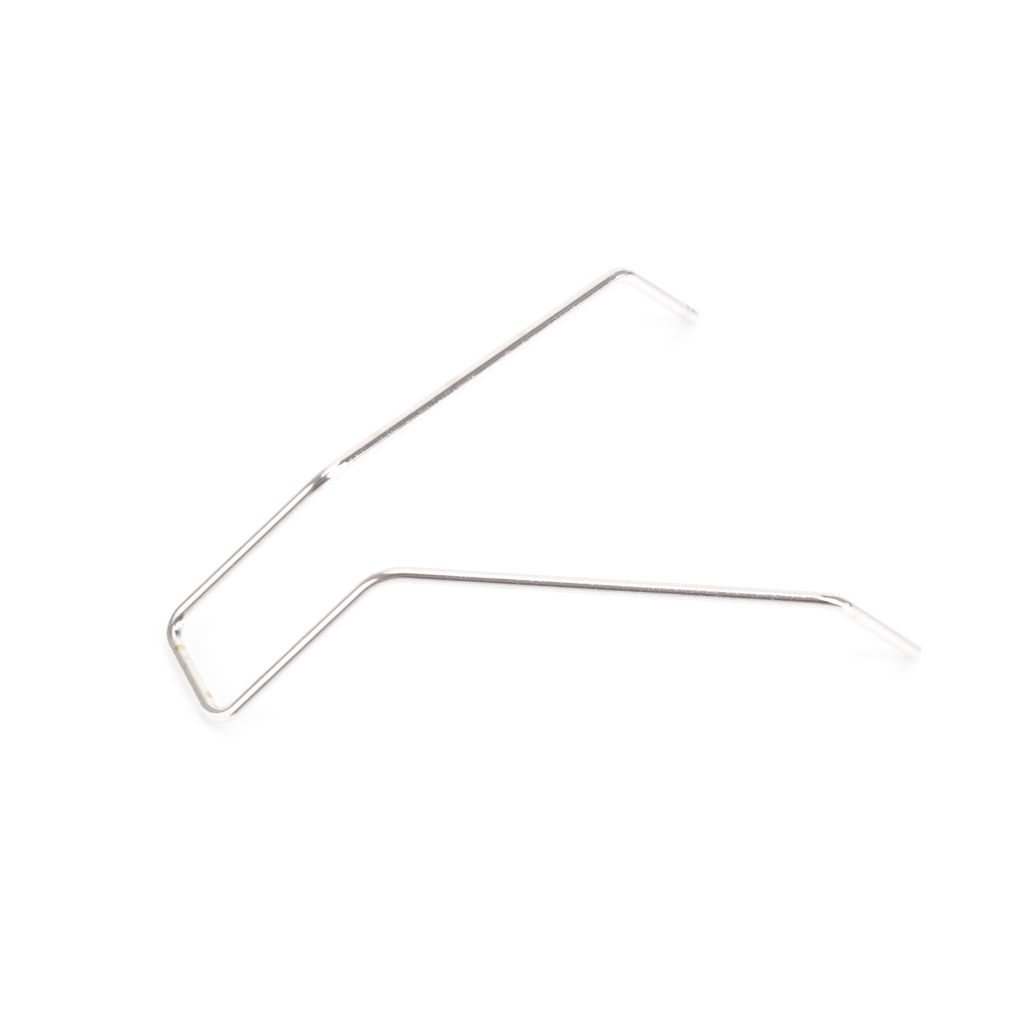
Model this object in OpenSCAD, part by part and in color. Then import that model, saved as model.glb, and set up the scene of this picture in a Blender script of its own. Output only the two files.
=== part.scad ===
// Wing mount wire: one length of bright round wire, bent alike on both sides of its middle.
// The crosspiece is clamped to the body. From each end of it a riser climbs to a knee, a long arm
// spreads outwards from the knee to a heel, and a short peg drops from the heel to carry the wing.
// The origin is the middle of the crosspiece, on the centreline of the wire. X runs along the
// crosspiece, Y runs from the crosspiece towards the pegs, and Z is up. The wire stands on the
// underside of its crosspiece and on the ends of its two pegs.
// Every length is taken along the centreline, from one corner point to the next. A corner point is
// where the centrelines of two neighbouring stretches would meet if the bend were sharp.

/* [Wire] */
// Diameter of the round wire
wire_d = 2.5; // [1.8:0.1:3.4]
// Diameter that the wire loses where it is stretched round a bend
bend_neck = 0.02; // [0.02:0.01:0.1]
// Width of the bevel round each cut end
end_bevel = 0.35; // [0.1:0.05:0.6]

/* [Crosspiece] */
// Length of the crosspiece, which is the distance between the centrelines of the risers
crosspiece_len = 20.75; // [16:0.25:40]
// Centreline radius of the bend from the crosspiece into each riser
corner_r = 4; // [2.5:0.25:6]

/* [Risers] */
// Length of each riser
riser_len = 33.25; // [26:0.25:60]
// Angle at which each riser climbs, in degrees
riser_climb = 39.5; // [30:0.5:60]
// Centreline radius of the knee, the bend from each riser into its arm
knee_r = 8; // [3:0.25:12]

/* [Arms] */
// Length of each arm
arm_len = 65.25; // [40:0.25:100]
// Angle at which each arm falls away from its knee, in degrees
arm_fall = 5; // [0:0.5:9]
// Angle at which each arm spreads outwards, in degrees
arm_spread = 24; // [5:0.5:40]
// Centreline radius of the heel, the bend from each arm into its peg
heel_r = 6.25; // [3:0.25:9]

/* [Pegs] */
// Angle at which each peg drops, in degrees
peg_drop = 50.5; // [35:0.5:80]
// Angle at which each peg spreads outwards, in degrees
peg_spread = 4.5; // [0:0.5:20]

/* [Hidden] */
$fn = 96;

wire_r = wire_d / 2;
// Length by which the narrowed wire of a bend runs into the full wire at each end of it
bend_lap = 0.15;

// Direction of a stretch that climbs and spreads by the given angles, negative where it falls
function heading(climb, spread) = [cos(climb) * sin(spread), cos(climb) * cos(spread), sin(climb)];

cross_dir = [1, 0, 0];
riser_dir = heading(riser_climb, 0);
arm_dir = heading(-arm_fall, arm_spread);
peg_dir = heading(-peg_drop, peg_spread);

// Height of the heel's corner point above the centreline of the crosspiece
heel_z = riser_len * riser_dir[2] + arm_len * arm_dir[2];
// Depth of the lowest point of a peg's bevelled end below the centre of its end face
end_sag = wire_r * cos(peg_drop) - end_bevel * min(cos(peg_drop), sin(peg_drop));
// Each peg is as long as it takes to reach the plane that the crosspiece stands on
peg_len = (heel_z + wire_r - end_sag) / sin(peg_drop);

// Angle by which the wire turns in the bend between two directions
function turn(into, out) = acos(into * out);

// Part of a direction that lies square to the wire's own direction
function square_to(along, direction) = direction - (direction * along) * along;

// Angle about the wire, from the plane of its last bend to the plane of its next one
function roll(before, along, after) =
    let (last = -square_to(along, before), next = square_to(along, after))
        atan2(cross(last, next) * along, last * next);

// Length that a bend takes from the stretch on each side of its corner point
function setback(angle, r) = r * tan(angle / 2);

// Angle of an arc that has the given length
function arc_angle(length, r) = length / r * 180 / PI;

corner_turn = turn(cross_dir, riser_dir);
knee_turn = turn(riser_dir, arm_dir);
heel_turn = turn(arm_dir, peg_dir);
corner_set = setback(corner_turn, corner_r);
knee_set = setback(knee_turn, knee_r);
heel_set = setback(heel_turn, heel_r);

// Straight wire along Z, and what follows at its end
module feed(length) {
    cylinder(h = length, d = wire_d);
    translate([0, 0, length])
        children();
}

// Bend that turns the wire from Z towards X about a centreline radius r, and what follows at its end
module bend(angle, r) {
    lap = arc_angle(bend_lap, r);
    translate([r, 0, 0]) {
        rotate([90, 0, 180])
            rotate_extrude(angle = angle + 2 * lap, start = -lap)
                translate([r, 0])
                    circle(d = wire_d - bend_neck);
        rotate([0, angle, 0])
            translate([-r, 0, 0])
                children();
    }
}

// Bevelled last bit of wire along Z
module cut_end() {
    cylinder(h = end_bevel, d1 = wire_d, d2 = wire_d - 2 * end_bevel);
}

// Half of the wire, bent stretch by stretch from the middle of the crosspiece to the end of a peg
module half_wire() {
    rotate([riser_climb, 0, 0])
        rotate([90, 0, 90])
            feed(crosspiece_len / 2 - corner_set)
                bend(corner_turn, corner_r)
                    feed(riser_len - corner_set - knee_set)
                        rotate(roll(cross_dir, riser_dir, arm_dir))
                            bend(knee_turn, knee_r)
                                feed(arm_len - knee_set - heel_set)
                                    rotate(roll(riser_dir, arm_dir, peg_dir))
                                        bend(heel_turn, heel_r)
                                            feed(peg_len - heel_set - end_bevel)
                                                cut_end();
}

module mount_wire() {
    color("gainsboro") {
        half_wire();
        mirror([1, 0, 0])
            half_wire();
    }
}

mount_wire();
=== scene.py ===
# Wing mount wire: a bent length of bright plated wire that stands on a pale floor in a white studio.
import math

import bmesh
import bpy
from mathutils import Matrix, Vector


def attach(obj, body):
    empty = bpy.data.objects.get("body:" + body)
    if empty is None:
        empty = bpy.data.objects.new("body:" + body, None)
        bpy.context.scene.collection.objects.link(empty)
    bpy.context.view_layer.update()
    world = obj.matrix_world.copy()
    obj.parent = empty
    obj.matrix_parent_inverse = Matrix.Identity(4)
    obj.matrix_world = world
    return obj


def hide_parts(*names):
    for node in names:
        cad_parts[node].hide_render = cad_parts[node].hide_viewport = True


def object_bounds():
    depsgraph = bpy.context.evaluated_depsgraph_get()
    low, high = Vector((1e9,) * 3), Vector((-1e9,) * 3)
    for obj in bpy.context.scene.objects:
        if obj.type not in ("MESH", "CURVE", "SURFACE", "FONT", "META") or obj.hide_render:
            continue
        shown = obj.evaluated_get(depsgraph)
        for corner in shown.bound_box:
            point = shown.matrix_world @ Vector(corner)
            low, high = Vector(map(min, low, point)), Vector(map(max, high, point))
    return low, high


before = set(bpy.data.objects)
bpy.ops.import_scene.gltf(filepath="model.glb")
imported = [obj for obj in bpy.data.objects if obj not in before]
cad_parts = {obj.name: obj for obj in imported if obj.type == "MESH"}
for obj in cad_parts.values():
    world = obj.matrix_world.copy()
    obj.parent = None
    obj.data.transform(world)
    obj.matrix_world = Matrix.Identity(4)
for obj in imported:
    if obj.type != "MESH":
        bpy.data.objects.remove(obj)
cad_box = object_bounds()

MM = 0.001
WHITE = (1, 1, 1, 1)

# Wire, in metres and radians
WIRE_R = 1.25 * MM
BEND_WIRE_R = 1.24 * MM
END_BEVEL = 0.35 * MM
CROSSPIECE_LEN = 20.75 * MM
CORNER_R = 4 * MM
RISER_LEN = 33.25 * MM
RISER_CLIMB = math.radians(39.5)
KNEE_R = 8 * MM
ARM_LEN = 65.25 * MM
ARM_FALL = math.radians(5)
ARM_SPREAD = math.radians(24)
HEEL_R = 6.25 * MM
PEG_DROP = math.radians(50.5)
PEG_SPREAD = math.radians(4.5)

# Rounding of the cut ends, which lies just inside their bevel
END_ROUND = 0.6 * MM
END_STEPS = 8
ROUND_PROFILE = 0.5
END_RING = 0.1 * MM
# Share of the rounding within which a point belongs to the cut end
END_REACH = 1.01
# Length over which the wire narrows on its way into a bend
TAPER = 0.8 * MM

# Fineness of the wire's mesh
WIRE_SIDES = 64
BEND_STEP = math.radians(3)
MIRROR_GAP = 0.01 * MM
MERGE_GAP = 0.002 * MM
SMOOTH_BELOW = math.radians(25)
# Attribute that tells the plating where it is: across the wire in x and y, and along it in z
RUN = "wire_run"

# Camera, in metres and radians, and its lens and sensor in millimetres
CAMERA_AIM = Vector((-1.076, 51.147, 11.667)) * MM
CAMERA_AZIMUTH = math.radians(66.149)
CAMERA_ELEVATION = math.radians(47.051)
CAMERA_DISTANCE = 744.377 * MM
CAMERA_LENS = 178.95
CAMERA_SENSOR = 36
CAMERA_NEAREST = 0.01
CAMERA_FARTHEST = 50

# Studio round the wire. Each softbox has a name, the azimuth and elevation of its middle, its roll,
# its half width and half height in degrees, its softness and its colour. Later ones cover earlier ones.
SOFTBOXES = (
    ("back_wall", 160, 25, -20, 30, 20, 0.3, (1.35, 1.37, 1.38)),
    ("left_wall", -105, 10, -35, 50, 60, 0.6, (0.98, 0.95, 0.93)),
    ("back_band", 175, 43, 40, 50, 6.5, 0.1, (0.31, 0.28, 0.28)),
    ("red_brown", 60, 65, -30, 25, 10, 0.1, (0.28, 0.22, 0.19)),
    ("camera_side", 85, 25, 0, 15, 15, 0.1, (0.19, 0.17, 0.17)),
    ("front_left_gap", -40, -5, 10, 25, 8, 0.25, (0.5, 0.47, 0.47)),
    ("grey_corner", -65, 30, 5, 15, 15, 0.3, (0.57, 0.53, 0.5)),
    ("dark_slot", -50, 10, -65, 5, 5, 0.3, (0.1, 0.07, 0.05)),
    ("back_gap", -175, 25, 15, 20, 15, 0.1, (0.46, 0.44, 0.46)),
    ("low_right", 60, -10, 60, 5, 25, 0.1, (0.76, 0.77, 0.8)),
    ("overhead", -115, 80, 0, 25, 20, 0.15, (1.08, 1.08, 1.07)),
    ("right_back", 130, 35, 30, 35, 20, 0.05, (1.32, 1.33, 1.34)),
    ("front", 0, 2, -15, 35, 55, 0.1, (1.04, 1.05, 1.06)),
)
ROOM_SHADE = (0.39, 0.33, 0.33)
# Least part of a view direction that counts as towards a softbox, so that nothing is divided by 0
LEAST_AHEAD = 0.00001

# Floor, in metres
FLOOR_SIZE = 4.0
FLOOR_COLOUR = (0.94, 0.93, 0.935, 1)
FLOOR_GLOW = 0.332
FLOOR_GLOW_COLOUR = (0.912, 0.972, 1.0, 1)
FLOOR_ROUGHNESS = 0.15
FLOOR_IOR = 1.5

# Colours of the plating, of the film on its crosspiece and of what has rubbed off on it. The brown also
# paints dark reflections.
PLATING = (0.94, 0.931, 0.926)
PLATING_WARM = (0.94, 0.917, 0.9)
STAIN = (0.953, 0.96, 0.9)
TAN = (0.76, 0.57, 0.4)
BROWN = (0.44, 0.28, 0.2)
# Warm patches and stain: fineness and detail of their noise, and the levels
# of it at which they start and are full
WARM_PATCHES = (160.0, 3.0)
WARM_LEVELS = (0.4, 0.7)
STAIN_PATCHES = (650.0, 3.0)
STAIN_LEVELS = (0.3, 0.65)
# Distances from the middle of the crosspiece where the stain ends and where it is full
STAIN_END = 9 * MM
STAIN_FULL = 6 * MM

# Rub marks and painted dark reflections: name, centre and reach in millimetres, strength, colour
RUB_MARKS_AND_PAINTED_REFLECTIONS = (
    ("rub_by_far_corner", (-5.0, -0.4, 1.2), 0.55, 0.9, TAN),
    ("faint_rub_by_far_corner", (-4.8, 0.2, 1.2), 0.8, 0.45, TAN),
    ("rub_by_near_corner", (5.2, 0.7, 1.0), 0.7, 0.65, TAN),
    # Painted dark reflection: a brown spot inside the far corner's highlight that stands for the wire's
    # own riser and crosspiece mirrored there
    ("painted_reflection_spot_in_far_corner", (-7.8, 0.6, 1.4), 0.36, 0.9, BROWN),
    ("streak_on_crosspiece", (-2.6, 0.1, 1.2), 0.5, 0.25, TAN),
    ("second_streak_on_crosspiece", (-1.4, -0.4, 1.2), 0.45, 0.3, TAN),
    ("rub_under_far_knee", (-9.3, 24.5, 20.0), 0.7, 0.28, TAN),
    ("rub_by_far_knee", (-14.9, 35.7, 21.4), 1.1, 0.24, TAN),
    ("rub_on_far_arm", (-21.8, 50.5, 20.0), 1.5, 0.25, TAN),
    ("rub_towards_far_heel", (-27.8, 64.4, 18.7), 0.9, 0.22, TAN),
    ("rub_under_near_heel", (38.2, 87.5, 12.6), 1.0, 0.17, TAN),
    ("rub_round_far_tip", (-36.5, 96.4, 1.9), 1.1, 0.18, TAN),
    # Brown rub at the far tip that also paints the dark reflected line along the far peg's upper edge
    ("dark_rub_and_painted_reflection_on_far_tip", (-37.2, 97.8, 1.7), 0.55, 0.36, BROWN),
    ("dark_rub_and_painted_reflection_above_far_tip", (-37.1, 96.8, 2.8), 0.55, 0.3, BROWN),
)
# Fineness, detail and depth of a mark's ragged edge
RAGGED_EDGE = (2600.0, 2.0)
RAGGED_DEPTH = 1.6
NOISE_MIDDLE = 0.5
# Shares of its reach where a mark ends and where it is full
MARK_END = 1.2
MARK_FULL = 0.35

# Drawn lines: width and length in metres
FINE_LINES = (0.16 * MM, 3.5 * MM)
BROAD_LINES = (0.5 * MM, 14 * MM)
LINE_DETAIL = 2.0
# Specks, dull clouds and grit: size in metres, stretch along the wire, noise level where they start
SMALL_SPECKS = (0.24 * MM, 1.4, 0.48)
DULL_CLOUDS = (1.1 * MM, 3.0, 0.46)
HEEL_GRIT = (0.3 * MM, 1.2, 0.46)
SPECK_DETAIL = 1.5
SPECK_EDGE = 0.18
# Strength of the specks outside the dull clouds, and what the clouds add to it
SPECKS_OUTSIDE = 0.65
SPECKS_IN_CLOUDS = 0.4
# Runs between which the grit on the near arm grows towards its heel, and fades in it
GRIT_START = 54 * MM
GRIT_FULL = 84 * MM
GRIT_FADES = 100 * MM
GRIT_END = 105 * MM

# Roughness of the bare polish, and what specks, grit, bends, rub marks and painted reflection marks,
# and cut ends add to it
POLISH = 0.025
SPECK_ROUGHNESS = 0.26
GRIT_ROUGHNESS = 0.2
BEND_ROUGHNESS = 0.04
MARK_ROUGHNESS = 0.2
END_ROUGHNESS = 0.16
# Length over which the roughness of a bend fades out on each side of its end
BEND_FADE = 1.5 * MM
# Distances from a cut end where its roughness starts and where it is full
END_START = 0.75 * MM
END_FULL = 0.4 * MM

# Relief: depth of the fine lines, and the shares of it that broad lines, specks and grit have
GRAIN_DEPTH = 0.0035 * MM
BROAD_SHARE = 1.4
SPECK_SHARE = -0.12
GRIT_SHARE = -0.1


def deselect_all():
    if bpy.context.mode != "OBJECT":
        bpy.ops.object.mode_set(mode="OBJECT")
    bpy.ops.object.select_all(action="DESELECT")


def direction(azimuth, elevation):
    """Unit vector that points to a place round the wire: azimuth 0 is -Y, azimuth 90 is +X."""
    return Vector((
        math.sin(azimuth) * math.cos(elevation),
        -math.cos(azimuth) * math.cos(elevation),
        math.sin(elevation),
    ))


def add_camera():
    back = direction(CAMERA_AZIMUTH, CAMERA_ELEVATION)
    turn = (-back).to_track_quat("-Z", "Y").to_euler()
    bpy.ops.object.camera_add(location=CAMERA_AIM + back * CAMERA_DISTANCE, rotation=turn)
    camera = bpy.context.object
    camera.name = "photo_camera"
    camera.data.sensor_width = CAMERA_SENSOR
    camera.data.lens = CAMERA_LENS
    camera.data.clip_start = CAMERA_NEAREST
    camera.data.clip_end = CAMERA_FARTHEST
    bpy.context.scene.camera = camera


def heading(climb, spread):
    """Direction of a stretch of wire that climbs and spreads outwards by these angles."""
    return Vector((
        math.cos(climb) * math.sin(spread),
        math.cos(climb) * math.cos(spread),
        math.sin(climb),
    ))


# Directions of the stretches of the half at +X, from the crosspiece to the peg
CROSSPIECE_DIRECTION = Vector((1, 0, 0))
RISER_DIRECTION = heading(RISER_CLIMB, 0)
ARM_DIRECTION = heading(-ARM_FALL, ARM_SPREAD)
PEG_DIRECTION = heading(-PEG_DROP, PEG_SPREAD)


def rim_centre(obj):
    """Middle of the wire's open rim, which is selected."""
    bm = bmesh.from_edit_mesh(obj.data)
    rim = [v.co for v in bm.verts if v.select]
    return sum(rim, Vector()) / len(rim)


def feed(obj, step):
    """Draws the wire's open rim out by this step, and marks how far it has run."""
    bpy.ops.mesh.extrude_region_move(TRANSFORM_OT_translate={"value": step})
    bm = bmesh.from_edit_mesh(obj.data)
    run = bm.verts.layers.float_vector[RUN]
    for v in bm.verts:
        if v.select:
            v[run].z += step.length
    bmesh.update_edit_mesh(obj.data)


def feed_taper(obj, along, ratio):
    """Feeds a short taper that makes the wire this much thicker or thinner."""
    feed(obj, along * TAPER)
    bpy.ops.transform.resize(value=(ratio,) * 3, center_override=rim_centre(obj))


def bend(obj, into, out, radius):
    """Bends the wire on from its open rim, whose centre is the start of the bend."""
    start = rim_centre(obj)
    old = len(bmesh.from_edit_mesh(obj.data).verts)
    angle = into.angle(out)
    axis = into.cross(out).normalized()
    centre = start + axis.cross(into) * radius
    steps = math.ceil(angle / BEND_STEP)
    # With no window, spin turns the other way about its axis
    bpy.ops.mesh.spin(steps=steps, angle=-angle, center=centre, axis=axis)
    bm = bmesh.from_edit_mesh(obj.data)
    run = bm.verts.layers.float_vector[RUN]
    spoke = start - centre
    for v in list(bm.verts)[old:]:
        away = v.co - centre
        flat = away - axis * away.dot(axis)
        turned = math.atan2(spoke.cross(flat).dot(axis), spoke.dot(flat))
        v[run].z += radius * turned
    bmesh.update_edit_mesh(obj.data)


def narrow_bend(obj, into, out, radius):
    """Bends the wire, a little narrower where it is stretched round the bend."""
    ratio = BEND_WIRE_R / WIRE_R
    feed_taper(obj, into, ratio)
    bend(obj, into, out, radius)
    feed_taper(obj, out, 1 / ratio)


def select_end_face(obj):
    """Selects the cut end, which alone has as many corners as the wire has sides."""
    bm = bmesh.from_edit_mesh(obj.data)
    for face in bm.faces:
        face.select_set(len(face.verts) == WIRE_SIDES)
    bmesh.update_edit_mesh(obj.data)


def cut_end(obj, along):
    """Closes the open rim with a flat face and rounds its edge."""
    tip = rim_centre(obj)
    bpy.ops.mesh.edge_face_add()
    bpy.ops.mesh.bevel(
        offset=END_ROUND, segments=END_STEPS, profile=ROUND_PROFILE, affect="EDGES")
    select_end_face(obj)
    bpy.ops.mesh.inset(thickness=END_RING)
    select_end_face(obj)
    bpy.ops.mesh.poke()
    bm = bmesh.from_edit_mesh(obj.data)
    run = bm.verts.layers.float_vector[RUN]
    length = max(v[run].z for v in bm.verts)
    for v in bm.verts:
        behind = (tip - v.co).dot(along)
        if behind < END_ROUND * END_REACH:
            v[run].z = length - behind
    bmesh.update_edit_mesh(obj.data)


def setback(into, out, radius):
    """Length that a bend takes from the stretch on each side of its corner point."""
    return radius * math.tan(into.angle(out) / 2)


def start_wire():
    """Ring of wire in the middle of the crosspiece, with the attribute that counts its run."""
    deselect_all()
    bpy.ops.mesh.primitive_circle_add(
        vertices=WIRE_SIDES, radius=WIRE_R, fill_type="NOTHING", rotation=(0, math.pi / 2, 0))
    wire = bpy.context.object
    wire.name = "bright_mount_wire"
    run = wire.data.attributes.new(RUN, "FLOAT_VECTOR", "POINT")
    for v in wire.data.vertices:
        run.data[v.index].vector = (v.co.x, v.co.y, 0)
    bpy.ops.object.transform_apply(location=False, rotation=True, scale=False)
    return wire


def mirror_wire(wire):
    """Adds the half at -X, where the run counts down from 0, and closes the seam in the middle."""
    mirror = wire.modifiers.new("other_half", "MIRROR")
    mirror.use_axis[0] = True
    mirror.merge_threshold = MIRROR_GAP
    bpy.ops.object.modifier_apply(modifier=mirror.name)
    run = wire.data.attributes[RUN]
    for v in wire.data.vertices:
        if v.co.x < 0:
            run.data[v.index].vector.z *= -1
    bpy.ops.object.mode_set(mode="EDIT")
    bpy.ops.mesh.select_all(action="SELECT")
    bpy.ops.mesh.remove_doubles(threshold=MERGE_GAP)
    bpy.ops.mesh.normals_make_consistent(inside=False)
    bpy.ops.object.mode_set(mode="OBJECT")


def build_wire():
    """Bends half of the wire stretch by stretch, as at a bench, and mirrors it."""
    corner_set = setback(CROSSPIECE_DIRECTION, RISER_DIRECTION, CORNER_R)
    knee_set = setback(RISER_DIRECTION, ARM_DIRECTION, KNEE_R)
    heel_set = setback(ARM_DIRECTION, PEG_DIRECTION, HEEL_R)
    # The peg is as long as it takes to reach the plane that the crosspiece stands on
    heel_height = RISER_LEN * RISER_DIRECTION.z + ARM_LEN * ARM_DIRECTION.z
    end_sag = WIRE_R * math.cos(PEG_DROP) - END_BEVEL * min(math.cos(PEG_DROP), math.sin(PEG_DROP))
    peg_len = (heel_height + WIRE_R - end_sag) / math.sin(PEG_DROP)

    wire = start_wire()
    bpy.ops.object.mode_set(mode="EDIT")
    bpy.ops.mesh.select_all(action="SELECT")
    feed(wire, CROSSPIECE_DIRECTION * (CROSSPIECE_LEN / 2 - corner_set - TAPER))
    narrow_bend(wire, CROSSPIECE_DIRECTION, RISER_DIRECTION, CORNER_R)
    feed(wire, RISER_DIRECTION * (RISER_LEN - corner_set - knee_set - 2 * TAPER))
    narrow_bend(wire, RISER_DIRECTION, ARM_DIRECTION, KNEE_R)
    feed(wire, ARM_DIRECTION * (ARM_LEN - knee_set - heel_set - 2 * TAPER))
    narrow_bend(wire, ARM_DIRECTION, PEG_DIRECTION, HEEL_R)
    feed(wire, PEG_DIRECTION * (peg_len - heel_set - TAPER))
    cut_end(wire, PEG_DIRECTION)
    bpy.ops.object.mode_set(mode="OBJECT")
    mirror_wire(wire)
    bpy.ops.object.shade_smooth_by_angle(angle=SMOOTH_BELOW)
    return wire


def link(tree, source, target):
    tree.links.new(source, target)


def add_node(tree, kind, **settings):
    node = tree.nodes.new(kind)
    for name, value in settings.items():
        setattr(node, name, value)
    return node


def feed_socket(tree, socket, given):
    """Gives a socket a link from another socket, or a plain number or vector."""
    if isinstance(given, bpy.types.NodeSocket):
        link(tree, given, socket)
    else:
        socket.default_value = given


def math_node(tree, operation, *given):
    node = add_node(tree, "ShaderNodeMath", operation=operation)
    for socket, value in zip(node.inputs, given):
        feed_socket(tree, socket, value)
    return node.outputs["Value"]


def vector_node(tree, operation, output, *given):
    node = add_node(tree, "ShaderNodeVectorMath", operation=operation)
    for socket, value in zip(node.inputs, given):
        feed_socket(tree, socket, value)
    return node.outputs[output]


def combine(tree, **given):
    """Vector from the sockets or numbers given for X, Y and Z."""
    node = add_node(tree, "ShaderNodeCombineXYZ")
    for axis, value in given.items():
        feed_socket(tree, node.inputs[axis], value)
    return node.outputs["Vector"]


def ramp(tree, value, start, end):
    """Smooth step from 0 at the start to 1 at the end."""
    node = add_node(tree, "ShaderNodeMapRange", interpolation_type="SMOOTHSTEP")
    feed_socket(tree, node.inputs["Value"], value)
    feed_socket(tree, node.inputs["From Min"], start)
    feed_socket(tree, node.inputs["From Max"], end)
    return node.outputs["Result"]


def noise(tree, place, scale, detail):
    node = add_node(tree, "ShaderNodeTexNoise")
    feed_socket(tree, node.inputs["Vector"], place)
    feed_socket(tree, node.inputs["Scale"], scale)
    node.inputs["Detail"].default_value = detail
    return node.outputs["Fac"]


def blend_colour(tree, mask, under, over):
    node = add_node(tree, "ShaderNodeMix", data_type="RGBA")
    feed_socket(tree, node.inputs["Factor"], mask)
    for name, colour in (("A", under), ("B", over)):
        socket = [s for s in node.inputs if s.name == name and s.type == "RGBA"][0]
        feed_socket(tree, socket, colour if isinstance(colour, bpy.types.NodeSocket) else (*colour, 1))
    return [s for s in node.outputs if s.type == "RGBA"][0]


def mix_shader(tree, share, first, second):
    node = add_node(tree, "ShaderNodeMixShader")
    link(tree, share, node.inputs[0])
    link(tree, first.outputs[0], node.inputs[1])
    link(tree, second.outputs[0], node.inputs[2])
    return node


def new_group(name, inputs, outputs):
    group = bpy.data.node_groups.new(name, "ShaderNodeTree")
    for socket, kind in inputs:
        group.interface.new_socket(socket, in_out="INPUT", socket_type="NodeSocket" + kind)
    for socket, kind in outputs:
        group.interface.new_socket(socket, in_out="OUTPUT", socket_type="NodeSocket" + kind)
    given = group.nodes.new("NodeGroupInput").outputs
    result = group.nodes.new("NodeGroupOutput").inputs
    return group, given, result


def place_group(tree, group, name, values):
    node = add_node(tree, "ShaderNodeGroup", node_tree=group, name=name)
    for socket, value in values.items():
        feed_socket(tree, node.inputs[socket], value)
    return node


def softbox_group():
    """Mask of the directions that look into a rounded rectangular softbox."""
    group, given, result = new_group(
        "softbox",
        (("Direction", "Vector"), ("Facing", "Vector"), ("Across", "Vector"), ("Up", "Vector"),
         ("Softness", "Float")),
        (("Mask", "Float"),))
    look = given["Direction"]
    ahead = vector_node(group, "DOT_PRODUCT", "Value", look, given["Facing"])
    offset = combine(
        group,
        X=vector_node(group, "DOT_PRODUCT", "Value", look, given["Across"]),
        Y=vector_node(group, "DOT_PRODUCT", "Value", look, given["Up"]))
    depth = math_node(group, "MAXIMUM", ahead, LEAST_AHEAD)
    share = vector_node(group, "DIVIDE", "Vector", offset, depth)
    squares = vector_node(group, "MULTIPLY", "Vector", share, share)
    reach = math_node(group, "SQRT", vector_node(group, "LENGTH", "Value", squares))
    outer = math_node(group, "ADD", 1.0, given["Softness"])
    inner = math_node(group, "SUBTRACT", 1.0, given["Softness"])
    link(group, ramp(group, reach, outer, inner), result["Mask"])
    return group


def build_studio():
    """World that the wire mirrors: a shaded room with softboxes. The camera sees it white."""
    world = bpy.data.worlds.new("white_studio")
    bpy.context.scene.world = world
    world.use_nodes = True
    tree = world.node_tree
    tree.nodes.clear()
    look = add_node(tree, "ShaderNodeTexCoord").outputs["Generated"]
    group = softbox_group()
    colour = ROOM_SHADE
    for name, azimuth, elevation, roll, half_width, half_height, softness, light in SOFTBOXES:
        facing = direction(math.radians(azimuth), math.radians(elevation))
        # Roll is counted from the Y axis, so no softbox may face exactly along it
        across = Vector((0, 1, 0)).cross(facing).normalized()
        across.rotate(Matrix.Rotation(math.radians(roll), 3, facing))
        box = place_group(tree, group, name, {
            "Direction": look,
            "Facing": facing,
            "Across": across / math.tan(math.radians(half_width)),
            "Up": facing.cross(across) / math.tan(math.radians(half_height)),
            "Softness": softness,
        })
        colour = blend_colour(tree, box.outputs["Mask"], colour, light)
    room = add_node(tree, "ShaderNodeBackground")
    link(tree, colour, room.inputs["Color"])
    white = add_node(tree, "ShaderNodeBackground")
    white.inputs["Color"].default_value = WHITE
    rays = add_node(tree, "ShaderNodeLightPath").outputs
    seen = mix_shader(tree, rays["Is Camera Ray"], room, white)
    out = add_node(tree, "ShaderNodeOutputWorld")
    link(tree, seen.outputs[0], out.inputs["Surface"])


def build_floor():
    """Pale card, white where no shadow falls on it. Its gloss shows in the wire alone."""
    deselect_all()
    bpy.ops.mesh.primitive_plane_add(size=FLOOR_SIZE, location=(0, 0, cad_box[0].z))
    floor = bpy.context.object
    floor.name = "floor"
    material = bpy.data.materials.new("pale_floor")
    material.use_nodes = True
    tree = material.node_tree
    tree.nodes.clear()
    card = add_node(tree, "ShaderNodeBsdfDiffuse")
    card.inputs["Color"].default_value = FLOOR_COLOUR
    rays = add_node(tree, "ShaderNodeLightPath").outputs
    seen = math_node(tree, "MAXIMUM", rays["Is Camera Ray"], rays["Is Glossy Ray"])
    seen = math_node(tree, "MAXIMUM", seen, rays["Is Transmission Ray"])
    glow = add_node(tree, "ShaderNodeEmission")
    glow.inputs["Color"].default_value = FLOOR_GLOW_COLOUR
    link(tree, math_node(tree, "MULTIPLY", seen, FLOOR_GLOW), glow.inputs["Strength"])
    lit = add_node(tree, "ShaderNodeAddShader")
    link(tree, card.outputs[0], lit.inputs[0])
    link(tree, glow.outputs[0], lit.inputs[1])
    sheen = add_node(tree, "ShaderNodeBsdfGlossy")
    sheen.inputs["Color"].default_value = WHITE
    sheen.inputs["Roughness"].default_value = FLOOR_ROUGHNESS
    fresnel = add_node(tree, "ShaderNodeFresnel")
    fresnel.inputs["IOR"].default_value = FLOOR_IOR
    unseen = math_node(tree, "SUBTRACT", 1.0, rays["Is Camera Ray"])
    both = mix_shader(tree, math_node(tree, "MULTIPLY", fresnel.outputs[0], unseen), lit, sheen)
    out = add_node(tree, "ShaderNodeOutputMaterial")
    link(tree, both.outputs[0], out.inputs["Surface"])
    floor.data.materials.append(material)


def stretched_run(group, run, width, length):
    """Run of the wire, counted in widths across it and in lengths along it."""
    per_width = math_node(group, "DIVIDE", 1.0, width)
    per_length = math_node(group, "DIVIDE", 1.0, length)
    spread = combine(group, X=per_width, Y=per_width, Z=per_length)
    return vector_node(group, "MULTIPLY", "Vector", run, spread)


def drawn_grain_group():
    """Fine lines along the wire, as the drawing die leaves them."""
    group, given, result = new_group(
        "drawn_grain",
        (("Run", "Vector"), ("Line Width", "Float"), ("Line Length", "Float")),
        (("Lines", "Float"),))
    place = stretched_run(group, given["Run"], given["Line Width"], given["Line Length"])
    link(group, noise(group, place, 1.0, LINE_DETAIL), result["Lines"])
    return group


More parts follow.
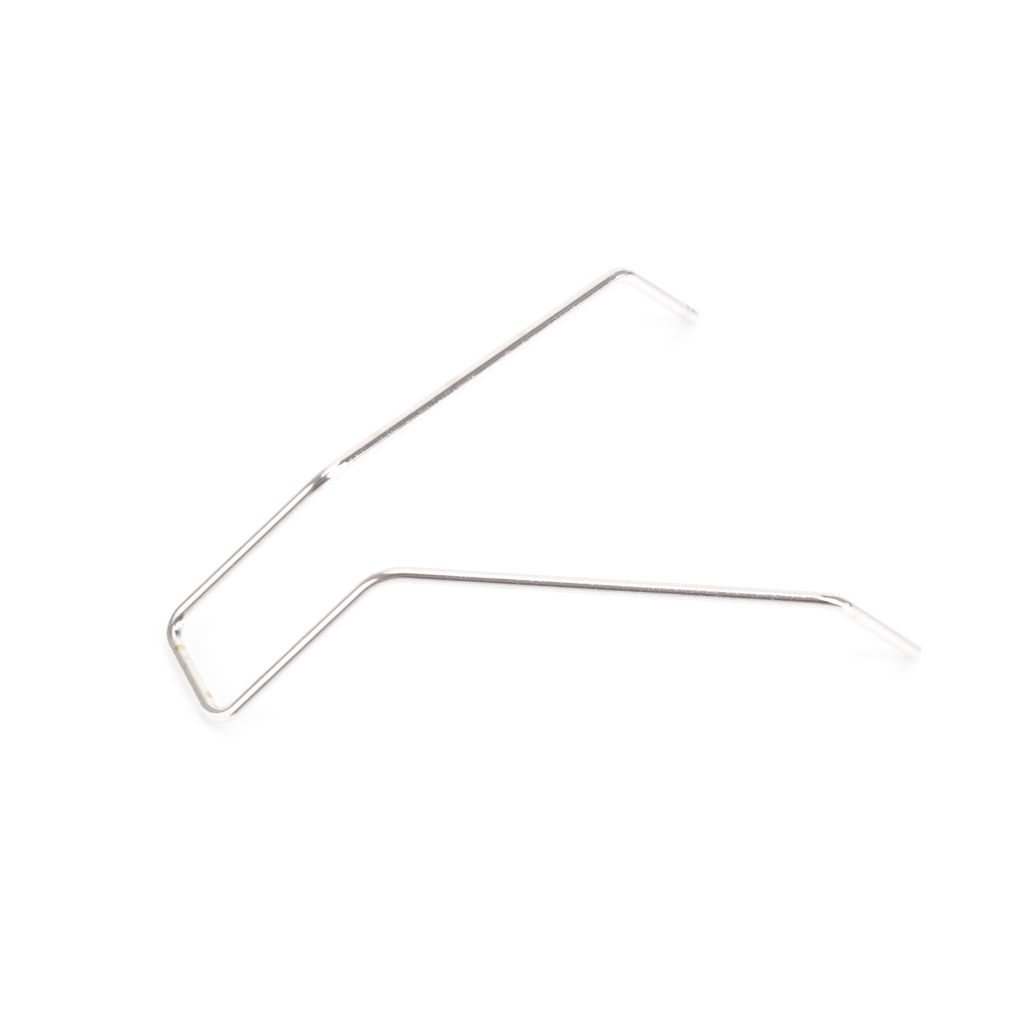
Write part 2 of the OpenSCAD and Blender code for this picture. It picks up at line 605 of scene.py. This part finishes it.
def speck_group():
    """Small scattered specks in the plating."""
    group, given, result = new_group(
        "plating_specks",
        (("Run", "Vector"), ("Size", "Float"), ("Stretch", "Float"), ("Threshold", "Float")),
        (("Mask", "Float"),))
    length = math_node(group, "MULTIPLY", given["Size"], given["Stretch"])
    place = stretched_run(group, given["Run"], given["Size"], length)
    level = noise(group, place, 1.0, SPECK_DETAIL)
    full = math_node(group, "ADD", given["Threshold"], SPECK_EDGE)
    link(group, ramp(group, level, given["Threshold"], full), result["Mask"])
    return group


def rub_and_painted_reflection_mark_group():
    """Ragged round patch of colour: a rub mark where something has rubbed against the wire, and for a
    few marks a painted dark reflection.
    """
    group, given, result = new_group(
        "rub_and_painted_reflection_mark",
        (("Place", "Vector"), ("Centre", "Vector"), ("Reach", "Float"), ("Strength", "Float")),
        (("Mask", "Float"),))
    away = vector_node(group, "DISTANCE", "Value", given["Place"], given["Centre"])
    share = math_node(group, "DIVIDE", away, given["Reach"])
    ragged = math_node(group, "SUBTRACT", noise(group, given["Place"], *RAGGED_EDGE), NOISE_MIDDLE)
    ragged = math_node(group, "MULTIPLY", ragged, RAGGED_DEPTH)
    inside = ramp(group, math_node(group, "ADD", share, ragged), MARK_END, MARK_FULL)
    link(group, math_node(group, "MULTIPLY", inside, given["Strength"]), result["Mask"])
    return group


def bend_zones(tree, run_length):
    """Mask of the stretches of wire that lie in a bend."""
    position = 0
    mask = None
    into = CROSSPIECE_DIRECTION
    for out, stretch, radius in (
            (RISER_DIRECTION, CROSSPIECE_LEN / 2, CORNER_R),
            (ARM_DIRECTION, RISER_LEN, KNEE_R),
            (PEG_DIRECTION, ARM_LEN, HEEL_R)):
        start = position + stretch - setback(into, out, radius)
        end = start + into.angle(out) * radius
        rise = ramp(tree, run_length, start - BEND_FADE, start + BEND_FADE)
        fall = ramp(tree, run_length, end + BEND_FADE, end - BEND_FADE)
        zone = math_node(tree, "MULTIPLY", rise, fall)
        mask = zone if mask is None else math_node(tree, "MAXIMUM", mask, zone)
        position = end - setback(into, out, radius)
        into = out
    return mask


def bright_plating(length):
    """Bright plating over drawn wire, with specks, a stain, rub marks, painted dark reflections and a
    duller cut at each end.
    """
    material = bpy.data.materials.new("bright_plating")
    material.use_nodes = True
    tree = material.node_tree
    shader = tree.nodes["Principled BSDF"]
    shader.inputs["Metallic"].default_value = 1.0
    run = add_node(tree, "ShaderNodeAttribute", attribute_name=RUN).outputs["Vector"]
    place = add_node(tree, "ShaderNodeTexCoord").outputs["Object"]
    along = add_node(tree, "ShaderNodeSeparateXYZ")
    link(tree, run, along.inputs[0])
    run_length = math_node(tree, "ABSOLUTE", along.outputs["Z"])

    grain = drawn_grain_group()
    fine, broad = [
        place_group(tree, grain, name, {
            "Run": run, "Line Width": line_width, "Line Length": line_length}).outputs["Lines"]
        for name, (line_width, line_length) in (
            ("fine_lines", FINE_LINES), ("broad_lines", BROAD_LINES))]
    specks = speck_group()
    small, clouds, coarse = [
        place_group(tree, specks, name, {
            "Run": run, "Size": size, "Stretch": stretch, "Threshold": threshold}).outputs["Mask"]
        for name, (size, stretch, threshold) in (
            ("small_specks", SMALL_SPECKS), ("dull_clouds", DULL_CLOUDS), ("heel_grit", HEEL_GRIT))]
    grit_grows = ramp(tree, along.outputs["Z"], GRIT_START, GRIT_FULL)
    grit_fades = ramp(tree, along.outputs["Z"], GRIT_END, GRIT_FADES)
    grit = math_node(tree, "MULTIPLY", coarse, math_node(tree, "MULTIPLY", grit_grows, grit_fades))
    bends = bend_zones(tree, run_length)
    ends = ramp(tree, run_length, length - END_START, length - END_FULL)

    warm = ramp(tree, noise(tree, place, *WARM_PATCHES), *WARM_LEVELS)
    colour = blend_colour(tree, warm, PLATING, PLATING_WARM)
    crosspiece = ramp(tree, run_length, STAIN_END, STAIN_FULL)
    stained = ramp(tree, noise(tree, place, *STAIN_PATCHES), *STAIN_LEVELS)
    colour = blend_colour(tree, math_node(tree, "MULTIPLY", stained, crosspiece), colour, STAIN)
    rub_and_painted_reflection_mark = rub_and_painted_reflection_mark_group()
    marks = 0.0
    # Rub marks, and the painted dark reflections among them, are blended into the plating's colour
    for name, centre, reach, strength, tint in RUB_MARKS_AND_PAINTED_REFLECTIONS:
        mark = place_group(tree, rub_and_painted_reflection_mark, name, {
            "Place": place, "Centre": Vector(centre) * MM, "Reach": reach * MM, "Strength": strength})
        colour = blend_colour(tree, mark.outputs["Mask"], colour, tint)
        marks = math_node(tree, "MAXIMUM", marks, mark.outputs["Mask"])
    link(tree, colour, shader.inputs["Base Color"])

    clouded = math_node(tree, "MULTIPLY_ADD", clouds, SPECKS_IN_CLOUDS, SPECKS_OUTSIDE)
    specked = math_node(tree, "MULTIPLY", small, clouded)
    roughness = POLISH
    for mask, added in (
            (specked, SPECK_ROUGHNESS), (grit, GRIT_ROUGHNESS), (bends, BEND_ROUGHNESS),
            (marks, MARK_ROUGHNESS), (ends, END_ROUGHNESS)):
        roughness = math_node(tree, "MULTIPLY_ADD", mask, added, roughness)
    link(tree, roughness, shader.inputs["Roughness"])

    height = math_node(tree, "MULTIPLY_ADD", broad, BROAD_SHARE, fine)
    height = math_node(tree, "MULTIPLY_ADD", specked, SPECK_SHARE, height)
    height = math_node(tree, "MULTIPLY_ADD", grit, GRIT_SHARE, height)
    bump = add_node(tree, "ShaderNodeBump")
    bump.inputs["Distance"].default_value = GRAIN_DEPTH
    link(tree, height, bump.inputs["Height"])
    link(tree, bump.outputs["Normal"], shader.inputs["Normal"])
    return material


add_camera()
build_studio()
build_floor()
wire = build_wire()
half_length = max(v.vector.z for v in wire.data.attributes[RUN].data)
wire.data.materials.append(bright_plating(half_length))
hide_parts("mount_wire")
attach(wire, "root")

bpy.context.scene.view_settings.view_transform = "Standard"
